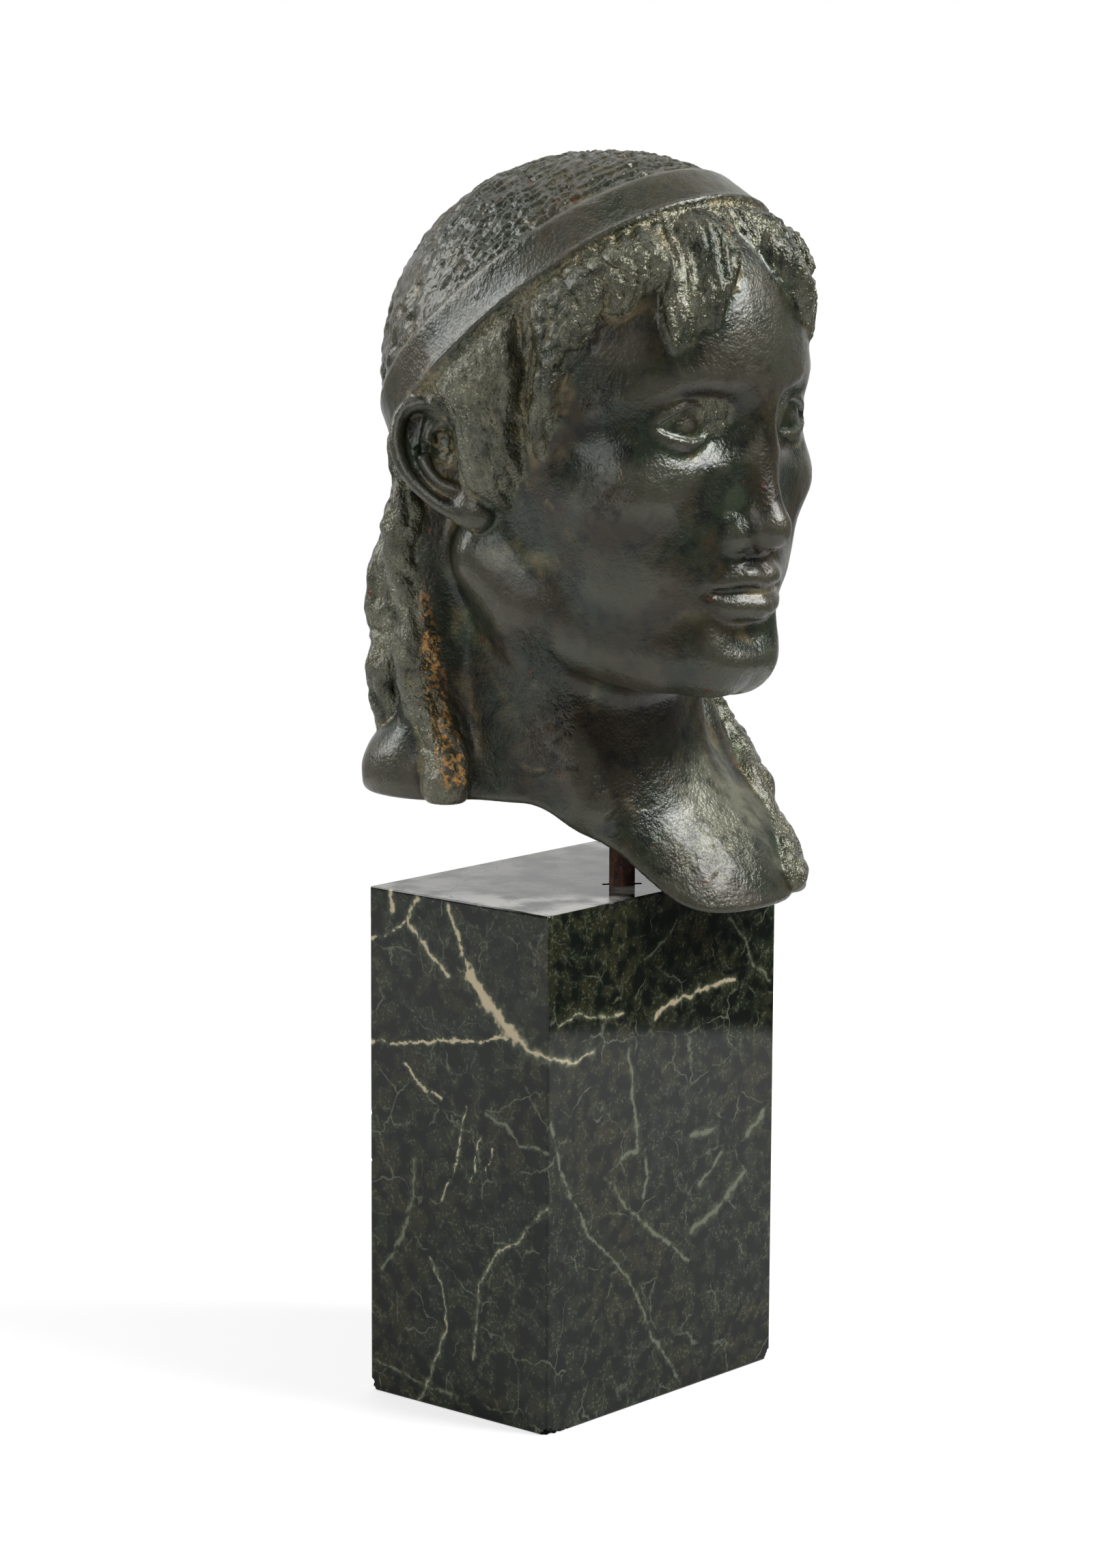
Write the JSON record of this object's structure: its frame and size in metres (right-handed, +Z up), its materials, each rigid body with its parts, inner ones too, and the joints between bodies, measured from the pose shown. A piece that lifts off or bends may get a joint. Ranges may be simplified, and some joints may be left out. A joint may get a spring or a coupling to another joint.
{
  "type": "bronze head sculpture",
  "caption": "Bronze head of a youth with a hair band and long locks, on a steel rod that stands in a polished marble block.",
  "frame": {"origin": "middle of the marble block's underside, on the surface that the part stands on", "axes": "+Z up, the face looks along -Y, the figure's left is +X"},
  "size_m": [0.1804, 0.206, 0.5278],
  "materials": {
    "bronze": "dark green-brown patina, satin, pitted, with copper-coloured rubs",
    "steel": "brown rust",
    "marble": "polished dark green marble with cream veins"
  },
  "bodies": {
    "root": {"bronze_head": "bronze", "mounting_rod": "steel", "marble_base": "marble"}
  },
  "joints": []
}
